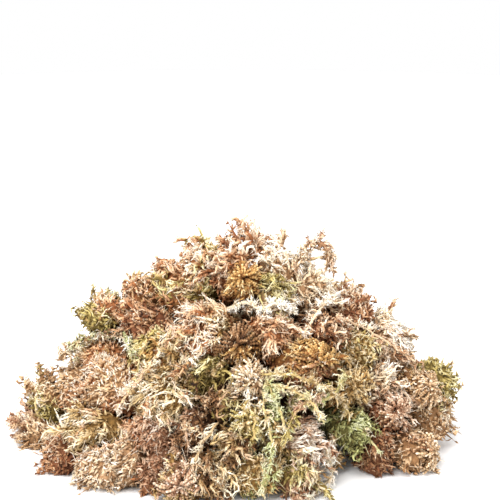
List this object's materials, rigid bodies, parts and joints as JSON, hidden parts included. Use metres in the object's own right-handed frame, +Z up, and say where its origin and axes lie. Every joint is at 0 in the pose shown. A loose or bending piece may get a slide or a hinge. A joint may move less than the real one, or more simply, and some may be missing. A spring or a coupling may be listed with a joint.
{
  "type": "sphagnum moss clump",
  "caption": "Loose heap of dried sphagnum moss, tangled leafy tufts, star-shaped heads, felted mats and trailing strands, lying on a flat surface.",
  "frame": {"origin": "middle of the bounding box's underside, on the surface that the heap lies on", "axes": "+Z up, +X along the heap's width to the right of the picture, -Y towards the viewer"},
  "size_m": [0.2394, 0.1634, 0.1193],
  "materials": {
    "moss_straw": "dull dried leaf, straw yellow",
    "moss_peach": "dull dried leaf, pinkish tan",
    "moss_rust": "dull dried leaf, rust brown",
    "moss_gold": "dull dried leaf, golden brown heads",
    "moss_olive": "dull dried leaf, olive",
    "moss_green": "dull dried leaf, pale green",
    "moss_cream": "dull dried leaf, bleached cream",
    "moss_taupe": "dull dried leaf, dark taupe",
    "moss_felt": "dull dried leaf, beige felt"
  },
  "bodies": {
    "root": {"amber_right_head": "moss_gold", "arch_strand": "moss_cream", "back_crown_tuft": "moss_peach", "back_high_left_tuft": "moss_felt", "back_high_right_tuft": "moss_straw", "back_left_tuft": "moss_olive", "back_low_left_tuft": "moss_straw", "back_low_right_tuft": "moss_felt", "back_middle_tuft": "moss_rust", "back_right_tuft": "moss_peach", "big_gold_head": "moss_gold", "bristly_hang_tuft": "moss_peach", "brown_bristle_tuft": "moss_taupe", "centre_olive_tuft": "moss_olive", "centre_rust_tuft": "moss_peach", "cream_brush_tuft": "moss_cream", "cream_head": "moss_cream", "crinkled_strand": "moss_cream", "crown_tuft": "moss_rust", "curled_strand": "moss_straw", "dark_right_tuft": "moss_taupe", "drape_strand": "moss_green", "far_left_tuft": "moss_peach", "felt_mat_tuft": "moss_felt", "front_head": "moss_straw", "front_underside_tuft": "moss_taupe", "gold_button_head": "moss_gold", "gold_tip_tuft": "moss_gold", "green_tuft": "moss_green", "hanging_strand": "moss_green", "high_left_tuft": "moss_straw", "left_amber_tuft": "moss_gold", "left_low_tuft": "moss_rust", "left_olive_tuft": "moss_olive", "left_outlier_tuft": "moss_olive", "left_rust_tuft": "moss_rust", "left_spiky_head": "moss_peach", "left_wave_tuft": "moss_straw", "mid_brown_tuft": "moss_peach", "mid_gold_head": "moss_gold", "olive_head": "moss_olive", "pale_right_tuft": "moss_cream", "pale_shoulder_tuft": "moss_cream", "pink_mat_tuft": "moss_peach", "pink_right_tuft": "moss_peach", "red_head": "moss_rust", "ribbon_strand": "moss_green", "right_curl_tuft": "moss_peach", "right_end_tuft": "moss_felt", "right_foot_head": "moss_rust", "right_low_tuft": "moss_rust", "right_olive_tuft": "moss_olive", "right_rust_tuft": "moss_rust", "straw_arch_tuft": "moss_straw", "straw_fall_tuft": "moss_straw", "taupe_tuft": "moss_taupe", "upper_gold_head": "moss_gold", "upper_olive_tuft": "moss_olive", "upper_peach_tuft": "moss_peach", "white_cushion_tuft": "moss_cream"}
  },
  "joints": []
}
